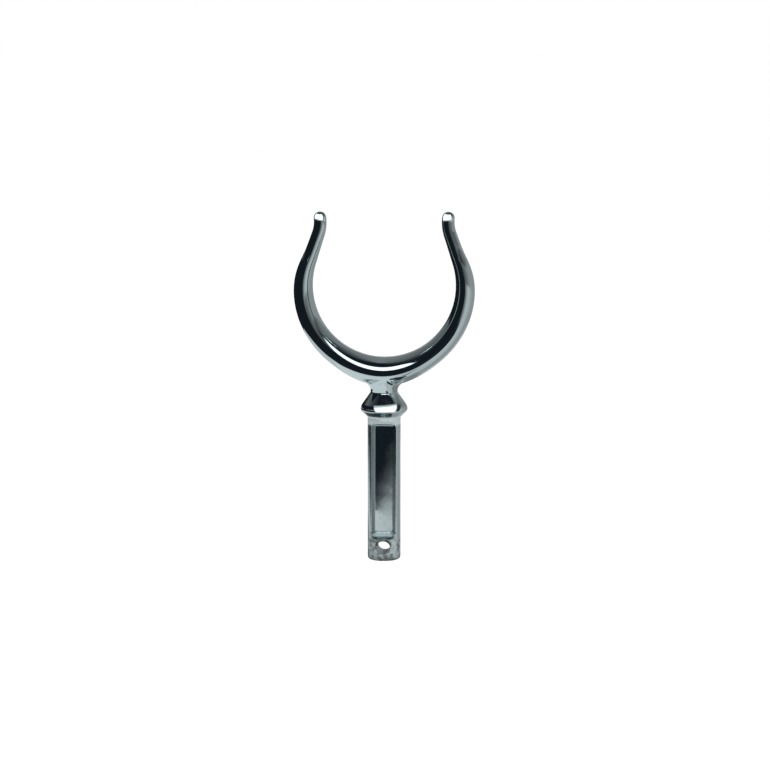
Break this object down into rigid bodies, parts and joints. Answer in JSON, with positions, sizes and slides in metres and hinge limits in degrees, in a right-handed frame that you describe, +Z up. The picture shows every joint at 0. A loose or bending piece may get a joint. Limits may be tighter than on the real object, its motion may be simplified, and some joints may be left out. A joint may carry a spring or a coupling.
{
  "type": "rowlock",
  "caption": "Open-topped rowlock: an oval-section horn with inturned arms and ball tips, on a collared shank that is recessed front and back and has a cross hole.",
  "frame": {"origin": "on the shank's axis where the underside of the collar meets the shank, which is level with the mouth of the socket", "axes": "+Z up along the shank's axis towards the horn, X across the horn's opening, Y fore and aft through it along the cross hole; the pictured face looks along -Y"},
  "size_m": [0.0692, 0.018, 0.1338],
  "materials": {
    "chrome_plating": "polished chrome over a casting, duller in the recesses of the shank"
  },
  "bodies": {
    "root": {"rowlock": "chrome_plating"}
  },
  "joints": []
}
